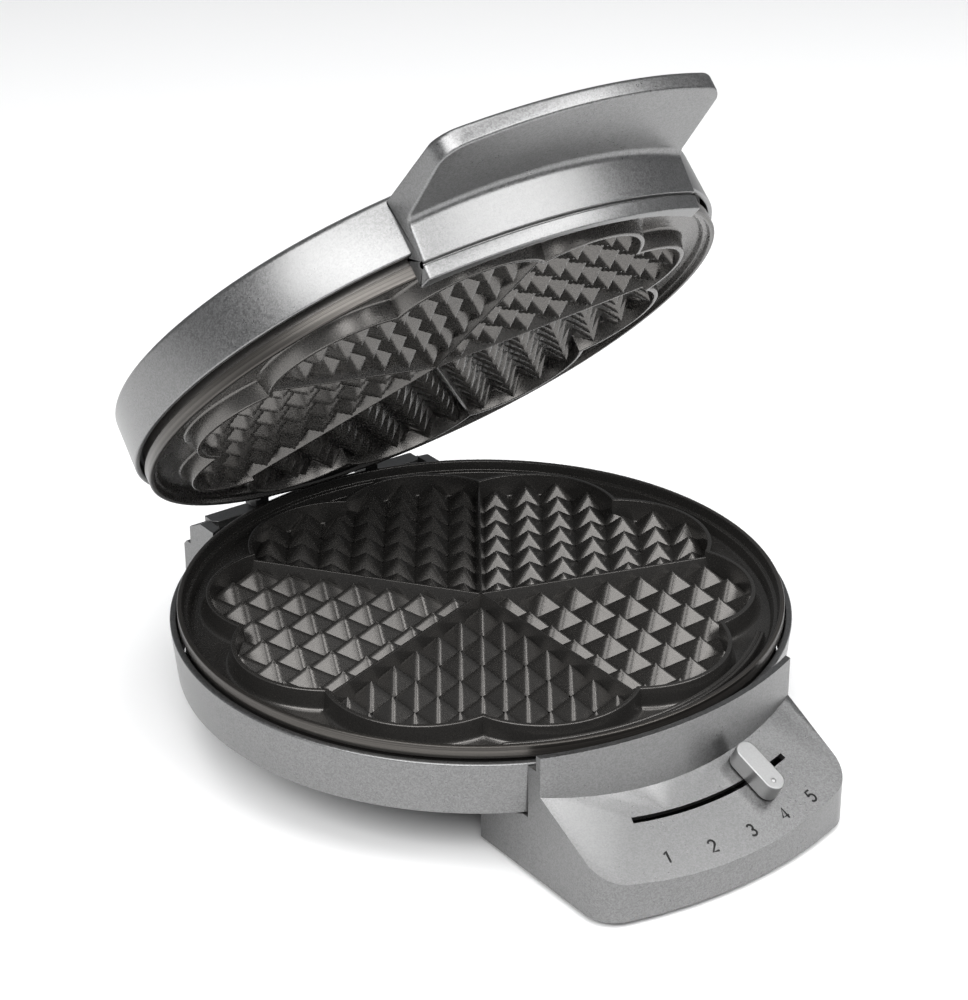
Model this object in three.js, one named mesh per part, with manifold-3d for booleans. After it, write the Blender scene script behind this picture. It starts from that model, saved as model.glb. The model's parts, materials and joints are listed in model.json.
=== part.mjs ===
// A round waffle maker that bakes five hearts, standing with its lid 44 degrees open. The base is a silver band
// on a dark pan, with a control console in front and a hinge housing behind. The lid is a silver cap with a visor
// handle, and each half holds a ribbed baking plate, a heating element and a reflector.
// Millimetres, +Z up, front towards -Y. Heights inside the base group are measured from the band's top edge.
import * as THREE from "three";
import { mergeVertices } from "three/addons/utils/BufferGeometryUtils.js";
import Module from "manifold-3d";

const wasm = await Module();
wasm.setup();

// ---- driving dimensions -------------------------------------------------------------------------------------
const BAND_TOP = 46.5; // height of the band's top edge above the table
const RING_Y = 12; // the round parts' axis behind the middle of the whole outline
const GAP = 0.3; // clearance between pieces that touch
const CONTACT = 5.5; // where the two plates meet when the lid is shut
const SEGMENTS = 48; // facets round a visible ring
const INNER_SEGMENTS = 30; // facets round a hidden one

const BAND_R = 120;
const BAND_FOOT_R = 118;
const BAND_INNER_R = 117.5;
const BAND_HEIGHT = 21.3;
const PAN_FLOOR = -44.5; // underside of the pan, the console and the hinge housing
const PAN_FLOOR_R = 70;
const PAN_RIM_R = 117.4;
const WALL = 2.5; // plastic wall thickness

const PLATE_R = 116.9;
const PLATE_TOP = CONTACT - GAP / 2;
const PLATE_BACK = -8.5;
const LOBES = 10; // two rounded lobes for each of the five hearts
const HEART_WALL = 1.8;
const PYRAMID_HEIGHT = 7;
// The upper hearts, given as if turned over, are smaller and stand deeper: their walls nest inside the lower ones.
const LOWER_HEARTS = {
  lobe: 35.5,
  centre: 69,
  back: 0,
  pitch: 13.7, // of the pyramid grid
  trough: -3, // floor of the overflow channel round the hearts
  floor: -4.5,
  crest: PLATE_TOP,
  ridge: 2.7,
};
const UPPER_HEARTS = {
  lobe: 31.3,
  centre: 70.1,
  back: 0.7,
  pitch: 13.86,
  trough: 1,
  floor: 0.4,
  crest: 7.9,
  ridge: 6.25,
};
const STUD_R = 86; // circle of the plate's three fixing studs
const ELEMENT_R = 66;
const ELEMENT_TUBE = 3.2;
const REFLECTOR_Z = -18.6;

const HINGE_Y = 116.1;
const HINGE_Z = 12.46;
const BARREL_R = 6;
const PIN_R = 2.5;
const LID_OPEN = 44.28; // degrees
const LID_BAND_R = 119.5;
const LID_BAND_LOW = 13.04;
const LID_BAND_HIGH = 35.9;

const CONSOLE_HALF = 57.8;
const PANEL_R = 152; // the control panel's upright face and the lid's handle are bowed alike
const PANEL_AXIS_Y = 28.1;
const PANEL_WALL = 2.4;
const PANEL_TOP = 5.5;
const SLOPE = 27; // degrees of the sloping control face
const SLOPE_AT = [-135, -21.65]; // y and z of one point of it
const FRONT_ARC_R = 172;
const FRONT_Y = -156.9;
const CONSOLE_BACK_Y = -78;

const LEVER_X = 3.3; // of the thermostat's tilted spindle
const LEVER_R = 149; // from the spindle's axis to the slot
const LEVER_TRAVEL = 12.4; // degrees each way
const LEVER_REST = 7; // just past position 4
const SPINDLE = new THREE.Vector3(LEVER_X, 33.3, -24);

// ---- colours ------------------------------------------------------------------------------------------------
const finish = (color, roughness, metalness) => ({ color, roughness, metalness });
const SILVER = finish(0x9a9b9d, 0.42, 0.6);
const DARK_PLASTIC = finish(0x2a2b2d, 0.55, 0);
const COATED = finish(0x2c2b2b, 0.35, 0.4);
const STEEL = finish(0xb4b6b8, 0.3, 1);
const BRIGHT_SHEET = finish(0xc8c9ca, 0.35, 1);
const RUBBER = finish(0x161616, 0.9, 0);
const CERAMIC = finish(0xe4ddcf, 0.6, 0);
const KNOB = finish(0xb9bbbd, 0.4, 0.4);

// ---- solids -------------------------------------------------------------------------------------------------
const radians = THREE.MathUtils.degToRad;

function signedVolume(position, triangles) {
  const corner = [0, 1, 2].map(() => new THREE.Vector3());
  let sum = 0;
  for (let i = 0; i < triangles.length; i += 3) {
    corner.forEach((c, k) => c.fromArray(position, 3 * triangles[i + k]));
    sum += corner[0].dot(corner[1].cross(corner[2]));
  }
  return sum / 6;
}

// A closed three.js geometry as a solid with its faces outwards; slivers at a pole are dropped.
function solid(geometry) {
  const bare = geometry.clone();
  bare.deleteAttribute("normal");
  bare.deleteAttribute("uv");
  const merged = mergeVertices(bare, 1e-4);
  const index = merged.index.array;
  const position = merged.attributes.position.array;
  const triangles = [];
  for (let i = 0; i < index.length; i += 3) {
    const [a, b, c] = index.subarray(i, i + 3);
    if (a !== b && b !== c && c !== a) triangles.push(a, b, c);
  }
  if (signedVolume(position, triangles) < 0) triangles.reverse();
  const triVerts = new Uint32Array(triangles);
  return new wasm.Manifold(new wasm.Mesh({ numProp: 3, vertProperties: position, triVerts }));
}

const join = (...parts) => parts.reduce((a, b) => a.add(b));
const cut = (body, ...tools) => tools.reduce((a, b) => a.subtract(b), body);
const common = (a, b) => a.intersect(b);

function geometryOf(body) {
  const mesh = body.getMesh();
  const geometry = new THREE.BufferGeometry();
  geometry.setAttribute("position", new THREE.BufferAttribute(mesh.vertProperties, 3));
  geometry.setIndex(new THREE.BufferAttribute(mesh.triVerts, 1));
  return geometry;
}

// A ring or disc turned from a profile of [radius, height] points; a ring's profile closes on itself.
function turned(profile, segments = SEGMENTS) {
  const onAxis = profile[0][0] === 0;
  const points = (onAxis ? profile : [...profile, profile[0]]).map(([r, z]) => new THREE.Vector2(r, z));
  return solid(new THREE.LatheGeometry(points, segments).rotateX(Math.PI / 2));
}

function drum(radius, z0, z1, segments = SEGMENTS) {
  return turned([[0, z0], [radius, z0], [radius, z1], [0, z1]], segments);
}

function prism(shape, z0, z1, curveSegments = 5) {
  const options = { depth: z1 - z0, bevelEnabled: false, curveSegments };
  return solid(new THREE.ExtrudeGeometry(shape, options).translate(0, 0, z0));
}

function block(x0, x1, y0, y1, z0, z1) {
  const geometry = new THREE.BoxGeometry(x1 - x0, y1 - y0, z1 - z0);
  return solid(geometry.translate((x0 + x1) / 2, (y0 + y1) / 2, (z0 + z1) / 2));
}

function polygon(points) {
  return new THREE.Shape(points.map(([a, b]) => new THREE.Vector2(a, b)));
}

// A side view drawn in [y, z] and carried along X.
function sideways(points, x0, x1) {
  const geometry = new THREE.ExtrudeGeometry(polygon(points), { depth: x1 - x0, bevelEnabled: false });
  const toSide = new THREE.Matrix4().makeBasis(
    new THREE.Vector3(0, 1, 0),
    new THREE.Vector3(0, 0, 1),
    new THREE.Vector3(1, 0, 0),
  );
  return solid(geometry.applyMatrix4(toSide).translate(x0, 0, 0));
}

// A large upright drum about an axis behind the middle, which gives a face its gentle bow.
function bowed(y, profile) {
  return turned([[0, profile[0][1]], ...profile, [0, profile[profile.length - 1][1]]], 120).translate(0, y, 0);
}

function upright(radius, x, y, z0, z1, sides = 10) {
  const geometry = new THREE.CylinderGeometry(radius, radius, z1 - z0, sides);
  return solid(geometry.rotateX(Math.PI / 2).translate(x, y, (z0 + z1) / 2));
}

function acrossX(radius, x0, x1, y, z, sides = 20) {
  const geometry = new THREE.CylinderGeometry(radius, radius, x1 - x0, sides);
  return solid(geometry.rotateZ(Math.PI / 2).translate((x0 + x1) / 2, y, z));
}

function alongY(radius, x, y0, y1, z, sides = 12) {
  return solid(new THREE.CylinderGeometry(radius, radius, y1 - y0, sides).translate(x, (y0 + y1) / 2, z));
}

function tube(points, radius, steps, sides = 6) {
  const path = new THREE.CatmullRomCurve3(points.map((p) => new THREE.Vector3(...p)));
  const section = new THREE.Shape().absarc(0, 0, radius, 0, 2 * Math.PI);
  const options = { extrudePath: path, steps, curveSegments: sides / 2, bevelEnabled: false };
  return solid(new THREE.ExtrudeGeometry(section, options));
}

// A direction in plan, with 0 degrees to the front and 90 to the right.
const towards = (degrees, r = 1) => [r * Math.sin(radians(degrees)), -r * Math.cos(radians(degrees))];

const root = new THREE.Group();
root.position.set(0, RING_Y, BAND_TOP);

function place(parent, name, body, look) {
  const material = new THREE.MeshStandardMaterial(look);
  const mesh = new THREE.Mesh(body.isBufferGeometry ? body : geometryOf(body), material);
  mesh.name = name;
  parent.add(mesh);
}

const sides = [["left", -1], ["right", 1]];

// ---- base band and pan --------------------------------------------------------------------------------------
const PAN_SLOPE = (BAND_HEIGHT + PAN_FLOOR) / (PAN_RIM_R - PAN_FLOOR_R); // drop per millimetre inwards
const PAN_RIM_Z = -BAND_HEIGHT - GAP;
const SCREW_ANGLES = [26.5, 120, 240, 333.5]; // the front two are inside the console
const PAN_SCREW_R = 110.5;

// The pan's outer form, grown by a clearance, to trim what is fitted round it.
function panSpace(clear) {
  return turned([
    [0, PAN_FLOOR - clear],
    [PAN_FLOOR_R + clear / 2, PAN_FLOOR - clear],
    [PAN_RIM_R + clear, PAN_RIM_Z - clear],
    [PAN_RIM_R + clear, PAN_RIM_Z + 1],
    [0, PAN_RIM_Z + 1],
  ]);
}

function baseBand() {
  const ledgeTop = -6 - GAP;
  const ring = turned([
    [BAND_R, 0],
    [BAND_INNER_R, 0],
    [BAND_INNER_R, ledgeTop],
    [113, ledgeTop],
    [113, ledgeTop - 2],
    [116.6, ledgeTop - 2],
    [BAND_FOOT_R - 2.2, -BAND_HEIGHT],
    [BAND_FOOT_R, -BAND_HEIGHT],
  ]);
  const bosses = SCREW_ANGLES.map((a) => upright(4.4, ...towards(a, PAN_SCREW_R + 1), -BAND_HEIGHT, ledgeTop - 1.3));
  const bores = SCREW_ANGLES.map((a) => upright(1.9, ...towards(a, PAN_SCREW_R), -BAND_HEIGHT - 1, -10.5, 8));
  return cut(join(ring, ...bosses), ...bores);
}

function basePan() {
  const dish = turned([
    [0, PAN_FLOOR],
    [PAN_FLOOR_R, PAN_FLOOR],
    [PAN_RIM_R, PAN_RIM_Z],
    [113, PAN_RIM_Z],
    [PAN_FLOOR_R - 1, PAN_FLOOR + 2.2],
    [0, PAN_FLOOR + 2.2],
  ]);
  const pads = SCREW_ANGLES.map((a) => upright(5, ...towards(a, PAN_SCREW_R), -26.4, PAN_RIM_Z));
  const holes = SCREW_ANGLES.map((a) => upright(1.9, ...towards(a, PAN_SCREW_R), -28, -20, 8));
  const leverWindow = block(-40, 42, -111, -72, -43.5, -23);
  const leadWindow = block(-20, 20, 72, 96, -41, -30);
  return cut(join(dish, ...pads), ...holes, leverWindow, leadWindow);
}

function panScrew(angle) {
  const at = towards(angle, PAN_SCREW_R);
  return join(upright(3.2, ...at, -28.4, -26.4 - GAP), upright(1.5, ...at, -27, -12, 8));
}

place(root, "base_band", baseBand(), SILVER);
place(root, "base_pan", basePan(), DARK_PLASTIC);
SCREW_ANGLES.forEach((angle, i) => place(root, `pan_screw_${i + 1}`, panScrew(angle), STEEL));

// ---- baking plates, shared by base and lid ------------------------------------------------------------------
// The outline of the five hearts: ten arcs that meet in cusps on every 36 degrees.
function heartOutline({ lobe, centre, back }, grow) {
  const half = radians(180 / LOBES);
  const reach = lobe + grow;
  const cusp = centre * Math.cos(half) + Math.sqrt(reach ** 2 - (centre * Math.sin(half)) ** 2);
  const spread = Math.atan2(cusp * Math.sin(half), cusp * Math.cos(half) - centre);
  const shape = new THREE.Shape();
  for (let k = 0; k < LOBES; k++) {
    const middle = -Math.PI / 2 + half * (2 * k + 1);
    const at = [centre * Math.cos(middle), centre * Math.sin(middle) + back];
    shape.absarc(...at, reach, middle - spread, middle + spread, false);
  }
  return shape;
}

// One pyramid on a rhombus whose sides run along u and v. It is a little wider than its share of the grid, so
// that it meets its neighbours in valleys just above the heart's floor.
function pyramid(x, y, u, v, { pitch, floor }) {
  const height = PYRAMID_HEIGHT + 0.6;
  const size = (pitch * 1.05 * height) / PYRAMID_HEIGHT;
  const cone = new THREE.ConeGeometry(1, height, 4).rotateX(Math.PI / 2);
  const skew = new THREE.Matrix4().makeBasis(
    new THREE.Vector3((size * (u[0] + v[0])) / 2, (size * (u[1] + v[1])) / 2, 0),
    new THREE.Vector3((size * (v[0] - u[0])) / 2, (size * (v[1] - u[1])) / 2, 0),
    new THREE.Vector3(0, 0, 1),
  );
  const z = floor + PYRAMID_HEIGHT - height / 2;
  return solid(cone.applyMatrix4(skew).translate(x, y, z));
}

// How far the outline lies from the hearts' middle in the direction of a point.
function outlineRadius({ lobe, centre }, x, y) {
  const step = (2 * Math.PI) / LOBES;
  const angle = Math.atan2(x, -y);
  const fromLobe = Math.abs(((angle % step) + step) % step) - step / 2;
  const across = centre * Math.sin(fromLobe);
  return centre * Math.cos(fromLobe) + Math.sqrt(lobe ** 2 - across ** 2);
}

function pyramids(hearts) {
  const found = [];
  for (let heart = 0; heart < 5; heart++) {
    const u = towards(72 * heart);
    const v = towards(72 * (heart + 1));
    for (let i = 0; i < 8; i++) {
      for (let j = 0; j < 8; j++) {
        const x = hearts.pitch * ((i + 0.5) * u[0] + (j + 0.5) * v[0]);
        const y = hearts.pitch * ((i + 0.5) * u[1] + (j + 0.5) * v[1]);
        const inside = Math.hypot(x, y) < outlineRadius(hearts, x, y) - 1;
        if (inside) found.push(pyramid(x, y + hearts.back, u, v, hearts));
      }
    }
  }
  return found;
}

// The thin ridges that part the hearts.
function dividers({ floor, ridge, back }) {
  const foot = floor - 0.3;
  const section = [[-3, foot], [3, foot], [0.5, ridge], [-0.5, ridge]];
  return [0, 1, 2, 3, 4].map((k) => {
    const options = { depth: 97, bevelEnabled: false };
    const bar = new THREE.ExtrudeGeometry(polygon(section), options).rotateX(Math.PI / 2);
    return solid(bar.rotateZ(radians(72 * k)).translate(0, back, 0));
  });
}

function plateBody(hearts) {
  const { trough, floor, crest } = hearts;
  const disc = turned([
    [0, PLATE_BACK],
    [105.5, PLATE_BACK],
    [108.5, -6],
    [PLATE_R, -6],
    [PLATE_R, PLATE_TOP],
    [114.6, PLATE_TOP],
    [114.6, trough + 4],
    [112.2, trough + 4],
    [111.6, trough],
    [0, trough],
  ]);
  const wall = prism(heartOutline(hearts, HEART_WALL), trough - 1, crest, 3);
  const hollow = prism(heartOutline(hearts, 0), floor, 20, 3);
  const room = prism(heartOutline(hearts, 0.6), floor - 1.5, 20, 3);
  const ribs = common(join(...pyramids(hearts), ...dividers(hearts)), room);
  const studs = [60, 180, 300].map((a) => upright(4, ...towards(a, STUD_R), REFLECTOR_Z + 0.8 + GAP, PLATE_BACK + 1));
  const bores = [60, 180, 300].map((a) => upright(1.8, ...towards(a, STUD_R), -20, -9, 8));
  return cut(join(disc, wall).subtract(hollow).add(ribs).add(join(...studs)), ...bores);
}

// A second low bead in front of the hearts that stops batter running into the console.
function frontBead() {
  const bead = new THREE.Shape();
  const from = radians(-90 - 34);
  const to = radians(-90 + 40);
  bead.absarc(0, 0, 110.6, from, to, false);
  bead.absarc(0, 0, 107.6, to, from, true);
  return prism(bead, LOWER_HEARTS.trough - 1, 2.6, 6);
}

function elementTube() {
  const z = PLATE_BACK - GAP - ELEMENT_TUBE - 0.2;
  const arc = Array.from({ length: 21 }, (_, i) => [...towards(195 + (330 * i) / 20, ELEMENT_R), z]);
  return tube(arc, ELEMENT_TUBE, 30);
}

function reflector() {
  const sheet = turned([
    [0, REFLECTOR_Z],
    [106, REFLECTOR_Z],
    [106, -10],
    [105.2, -10],
    [105.2, REFLECTOR_Z + 0.8],
    [0, REFLECTOR_Z + 0.8],
  ], INNER_SEGMENTS);
  const holes = [60, 180, 300].map((a) => upright(2, ...towards(a, STUD_R), -25, -15, 8));
  return cut(sheet, ...holes);
}

function plateScrew(angle) {
  const at = towards(angle, STUD_R);
  const head = REFLECTOR_Z - GAP;
  return join(upright(3.2, ...at, head - 1.8, head), upright(1.4, ...at, head - 1, -10.5, 8));
}

// The lid's copy of a piece: the same piece turned over through the plane where the plates meet.
function mirrored(body) {
  const flip = new THREE.Matrix4().makeScale(1, 1, -1).setPosition(0, 0, 2 * CONTACT);
  return solid(geometryOf(body).applyMatrix4(flip));
}

place(root, "lower_plate", join(plateBody(LOWER_HEARTS), frontBead()), COATED);
place(root, "lower_heating_element", elementTube(), STEEL);
place(root, "lower_reflector", reflector(), BRIGHT_SHEET);
[60, 180, 300].forEach((a, i) => place(root, `lower_plate_screw_${i + 1}`, plateScrew(a), STEEL));

// ---- console ------------------------------------------------------------------------------------------------
// The console seen from above: straight sides, rounded corners and a gently bowed front, inset by a wall.
function consoleOutline(inset, backY) {
  const x = CONSOLE_HALF - inset;
  const arc = FRONT_ARC_R - inset;
  const centreY = FRONT_Y + FRONT_ARC_R;
  const corner = 13 - inset;
  const cornerX = x - corner;
  const cornerY = centreY - Math.sqrt((arc - corner) ** 2 - cornerX ** 2);
  const lean = Math.atan2(cornerX, centreY - cornerY);
  const shape = new THREE.Shape();
  shape.moveTo(x, backY);
  shape.lineTo(-x, backY);
  shape.lineTo(-x, cornerY);
  shape.absarc(-cornerX, cornerY, corner, Math.PI, 1.5 * Math.PI - lean, false);
  shape.absarc(0, centreY, arc, 1.5 * Math.PI - lean, 1.5 * Math.PI + lean, false);
  shape.absarc(cornerX, cornerY, corner, 1.5 * Math.PI + lean, 2 * Math.PI, false);
  return shape;
}

const slopeNormal = new THREE.Vector3(0, -Math.sin(radians(SLOPE)), Math.cos(radians(SLOPE)));

// Everything under the sloping face, lowered by a depth.
function underSlope(depth) {
  const half = 60;
  const geometry = new THREE.BoxGeometry(200, 220, 2 * half).rotateX(radians(SLOPE));
  const centre = new THREE.Vector3(0, ...SLOPE_AT).addScaledVector(slopeNormal, -half - depth);
  return solid(geometry.translate(...centre.toArray()));
}

// The curved slot that the lever's stem runs in, square to the sloping face.
function leverSlot() {
  const reach = radians(LEVER_TRAVEL + 1.3);
  const shape = new THREE.Shape();
  shape.absarc(0, 0, LEVER_R + 1.2, -Math.PI / 2 - reach, -Math.PI / 2 + reach, false);
  shape.absarc(0, 0, LEVER_R - 1.2, -Math.PI / 2 + reach, -Math.PI / 2 - reach, true);
  const options = { depth: 12, bevelEnabled: false, curveSegments: 10 };
  const slab = new THREE.ExtrudeGeometry(shape, options).translate(0, 0, -6).rotateX(radians(SLOPE));
  const y = SLOPE_AT[0] + LEVER_R * Math.cos(radians(SLOPE));
  const z = SLOPE_AT[1] + LEVER_R * Math.sin(radians(SLOPE));
  return solid(slab.translate(LEVER_X, y, z));
}

function consoleHousing() {
  const troughFloor = -0.8; // the lid's flange stops just above it when shut
  const face = bowed(PANEL_AXIS_Y, [[PANEL_R, -60], [PANEL_R, 20]]);
  const behindFace = bowed(PANEL_AXIS_Y, [[PANEL_R - PANEL_WALL, -60], [PANEL_R - PANEL_WALL, 20]]);
  const aboveTrough = block(-80, 80, -140, 0, troughFloor, 20);
  const outline = prism(consoleOutline(0, CONSOLE_BACK_Y), PAN_FLOOR, PANEL_TOP, 4);
  const outer = common(outline, join(face, underSlope(0)));
  const room = prism(consoleOutline(WALL, CONSOLE_BACK_Y + 5), PAN_FLOOR - 1, troughFloor - WALL, 4);
  const inner = common(room, join(behindFace, underSlope(WALL)));
  const bandSpace = drum(BAND_R + 0.5, PAN_RIM_Z - 0.2, 20);
  const posts = [-1, 1].map((s) => upright(4, s * 46, -128, -42, -14));
  const bores = [-1, 1].map((s) => upright(1.8, s * 46, -128, -46, -30, 8));
  const shell = cut(outer, inner, bandSpace, common(behindFace, aboveTrough), panSpace(GAP));
  return cut(join(shell, ...posts.map((p) => common(p, outer))), leverSlot(), ...bores);
}

function consoleBottom() {
  const cover = prism(consoleOutline(WALL + GAP, CONSOLE_BACK_Y + 1), PAN_FLOOR, PAN_FLOOR + 2, 3);
  const holes = [-1, 1].map((s) => upright(2, s * 46, -128, -50, -40, 8));
  return cut(cover, ...holes);
}

function consoleScrew(side) {
  const at = [side * 46, -128];
  return join(upright(3.4, ...at, PAN_FLOOR - 1.6, PAN_FLOOR - GAP), upright(1.5, ...at, PAN_FLOOR - 1, -31, 8));
}

place(root, "console_housing", consoleHousing(), SILVER);
place(root, "console_bottom", consoleBottom(), DARK_PLASTIC);
sides.forEach(([side, s]) => place(root, `console_screw_${side}`, consoleScrew(s), STEEL));

// ---- thermostat and its lever -------------------------------------------------------------------------------
// Pieces round the tilted spindle are drawn square to it and then leaned over with it.
const lean = (geometry) => geometry.rotateX(radians(SLOPE)).translate(...SPINDLE.toArray());

function thermostat() {
  const body = solid(lean(new THREE.BoxGeometry(26, 24, 9).translate(0, 0, -7)));
  const spindle = solid(lean(new THREE.CylinderGeometry(3, 3, 8, 16).rotateX(Math.PI / 2)));
  const tabs = solid(lean(new THREE.BoxGeometry(34, 8, 1.2).translate(0, 0, -8)));
  return join(body, spindle, tabs);
}

// The steel strip seen from the side: from the spindle down and forward, then up through the slot.
function lever() {
  const mid = [
    [SPINDLE.y, SPINDLE.z],
    [15.5, -33.1],
    [-108, -34.5],
    [-125.5, -33],
    [-131.6, -28.5],
    [-137.2, -17.5],
  ];
  const thick = 0.7;
  const normals = mid.map((_, i) => {
    const [ay, az] = mid[Math.max(i - 1, 0)];
    const [by, bz] = mid[Math.min(i + 1, mid.length - 1)];
    const length = Math.hypot(by - ay, bz - az);
    return [-(bz - az) / length, (by - ay) / length];
  });
  const edge = (s) => mid.map(([y, z], i) => [y + s * thick * normals[i][0], z + s * thick * normals[i][1]]);
  const strip = sideways([...edge(1), ...edge(-1).reverse()], LEVER_X - 2.5, LEVER_X + 2.5);
  const hub = solid(lean(new THREE.CylinderGeometry(7, 7, 1.4, 24).rotateX(Math.PI / 2)));
  const bore = solid(lean(new THREE.CylinderGeometry(3.4, 3.4, 12, 20).rotateX(Math.PI / 2)));
  return cut(join(strip, hub), bore);
}

// A stadium-shaped block that stands on the sloping face and is wider than the slot.
function knob() {
  const [halfLength, radius, height, lift] = [11.1, 4.1, 7.7, 0.35];
  const shape = new THREE.Shape();
  shape.absarc(0, -halfLength + radius, radius, Math.PI, 2 * Math.PI, false);
  shape.absarc(0, halfLength - radius, radius, 0, Math.PI, false);
  const socket = new THREE.BoxGeometry(5.6, 2.2, 10).translate(0, 0, 0.1);
  const onSlope = (g) => g.rotateX(radians(SLOPE)).translate(LEVER_X, ...SLOPE_AT);
  const body = new THREE.ExtrudeGeometry(shape, { depth: height, bevelEnabled: false, curveSegments: 8 });
  return cut(solid(onSlope(body.translate(0, 0, lift))), solid(onSlope(socket)));
}

const leverGroup = new THREE.Group();
leverGroup.position.copy(SPINDLE);
leverGroup.quaternion.setFromAxisAngle(slopeNormal, radians(LEVER_REST));
const leverParts = new THREE.Group();
leverParts.position.copy(SPINDLE).negate();
leverGroup.add(leverParts);
root.add(leverGroup);

place(root, "thermostat", thermostat(), CERAMIC);
place(leverParts, "thermostat_lever", lever(), STEEL);
place(leverParts, "slider_knob", knob(), KNOB);

// ---- wiring pieces in the base ------------------------------------------------------------------------------
function terminalBlock() {
  const body = block(-40, -14, 40, 52, -41.8, -33);
  const bores = [-36, -27, -18].map((x) => alongY(1.7, x, 38, 54, -37.5, 10));
  return cut(body, ...bores);
}

place(root, "terminal_block", terminalBlock(), CERAMIC);
place(root, "thermal_fuse", acrossX(2.4, 24, 44, 44, -24, 12), CERAMIC);

// ---- hinge housing, ears and pins ---------------------------------------------------------------------------
const HOUSING_HALF = 57;
const HOUSING_BACK = 125; // of its upper part
const FOOT_BACK = 130.5; // of its lower part
const STEP_Z = -9.5;
const EAR = [24.2, 30.4]; // inner and outer side of a hinge ear
const EAR_SCREW_Y = 120;

function hingeHousing() {
  const side = [[92, PAN_FLOOR], [FOOT_BACK, PAN_FLOOR], [FOOT_BACK, STEP_Z - 2], [FOOT_BACK - 2, STEP_Z]];
  const back = [[HOUSING_BACK, STEP_Z], [HOUSING_BACK, -1.6], [HOUSING_BACK - 1.5, -0.5], [92, -0.5]];
  const outer = sideways([...side, ...back], -HOUSING_HALF, HOUSING_HALF);
  const cheek = [[100, -6], [HOUSING_BACK, -6], [HOUSING_BACK, -1.6], [116, 3], [100, 3]];
  const cheeks = [[-HOUSING_HALF, -52.2], [52.2, HOUSING_HALF]].map(([a, b]) => sideways(cheek, a, b));
  const wall = WALL - 0.5;
  const roomSide = [[80, PAN_FLOOR + wall], [FOOT_BACK - wall, PAN_FLOOR + wall], [FOOT_BACK - wall, -13]];
  const roomBack = [[HOUSING_BACK - wall, -13], [HOUSING_BACK - wall, -0.5 - wall], [80, -0.5 - wall]];
  const room = sideways([...roomSide, ...roomBack], -HOUSING_HALF + wall, HOUSING_HALF - wall);
  const glandHole = alongY(5.3, 24, 120, 140, -31, 20);
  const earHoles = sides.map(([, s]) => upright(1.8, s * 27.3, EAR_SCREW_Y, -6, 2, 8));
  const shell = cut(join(outer, ...cheeks), room, drum(BAND_R + 0.5, PAN_RIM_Z - 0.2, 20), panSpace(GAP));
  return cut(shell, glandHole, ...earHoles);
}

// A dark upright with a round eye for the pin, screwed down on the housing.
function hingeEar(s) {
  const [a, b] = s > 0 ? EAR : [-EAR[1], -EAR[0]];
  const post = block(a, b, HINGE_Y - 0.7, 124, GAP - 0.5 + GAP, HINGE_Z);
  const trim = block(-60, 60, 122.1, 130, 3.5, 30);
  const clearPlate = drum(BAND_R + 0.4, -10, 0.2);
  const body = cut(join(post, acrossX(BARREL_R, a, b, HINGE_Y, HINGE_Z, 24)), trim, clearPlate);
  const screwBore = upright(1.8, s * 27.3, EAR_SCREW_Y, -2, 8, 8);
  return cut(body, acrossX(PIN_R + GAP, a - 1, b + 1, HINGE_Y, HINGE_Z), screwBore);
}

function earScrew(s) {
  const at = [s * 27.3, EAR_SCREW_Y];
  return join(upright(2.4, ...at, -4.8, -2.8), upright(1.4, ...at, -4, 7, 8));
}

// The silver cap beside the ear: a flat top with bevelled outer end.
function hingeCap(s) {
  const front = 113.4;
  const back = 121.5;
  const shape = polygon([[31.2, front], [49.8, front], [51.6, front + 2], [51.6, back], [31.2, back]]);
  const body = prism(shape, 0.2, 3.2);
  const skirt = cut(block(31.2, 51.6, front, back, -0.2, 1), drum(BAND_R + 0.5, -5, 0.3));
  const whole = join(body, skirt);
  return s > 0 ? whole : solid(geometryOf(whole).applyMatrix4(new THREE.Matrix4().makeScale(-1, 1, 1)));
}

function hingePin(s) {
  const [a, b] = s > 0 ? [15, 30.4] : [-30.4, -15];
  return acrossX(PIN_R, a, b, HINGE_Y, HINGE_Z);
}

function cordGland() {
  const ring = solid(new THREE.LatheGeometry([
    [3.4, 126], [5, 126], [5, 130.8], [7.4, 130.8], [6.6, 132.6], [3.4, 132.6], [3.4, 126],
  ].map(([r, y]) => new THREE.Vector2(r, y)), 16).translate(24, 0, -31));
  return ring;
}

function foot(x, y) {
  return solid(new THREE.LatheGeometry([
    [0, -BAND_TOP], [6.6, -BAND_TOP], [7.6, PAN_FLOOR - GAP - 0.4], [7.6, PAN_FLOOR - GAP], [0, PAN_FLOOR - GAP],
  ].map(([r, z]) => new THREE.Vector2(r, z)), 16).rotateX(Math.PI / 2).translate(x, y, 0));
}

place(root, "hinge_housing", hingeHousing(), SILVER);
sides.forEach(([side, s]) => {
  place(root, `hinge_ear_${side}`, hingeEar(s), DARK_PLASTIC);
  place(root, `hinge_ear_screw_${side}`, earScrew(s), STEEL);
  place(root, `hinge_cap_${side}`, hingeCap(s), SILVER);
  place(root, `hinge_pin_${side}`, hingePin(s), STEEL);
  place(root, `foot_front_${side}`, foot(s * 34, -140), RUBBER);
  place(root, `foot_rear_${side}`, foot(s * 44, 118), RUBBER);
});
place(root, "cord_gland", cordGland(), RUBBER);

// ---- lid ----------------------------------------------------------------------------------------------------
// Lid pieces are drawn shut and turned about the hinge pins as one group.
const lidHinge = new THREE.Group();
lidHinge.position.set(0, HINGE_Y, HINGE_Z);
lidHinge.rotation.x = -radians(LID_OPEN);
const lid = new THREE.Group();
lid.position.set(0, -HINGE_Y, -HINGE_Z);
lidHinge.add(lid);
root.add(lidHinge);

const HINGE_NOTCH = block(-31.6, 31.6, 109.5, 130, 0, HINGE_Z + BARREL_R + 1.3);
const handleScrews = [-33, 33];
const HANDLE_SCREW_Z = 26;

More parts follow.
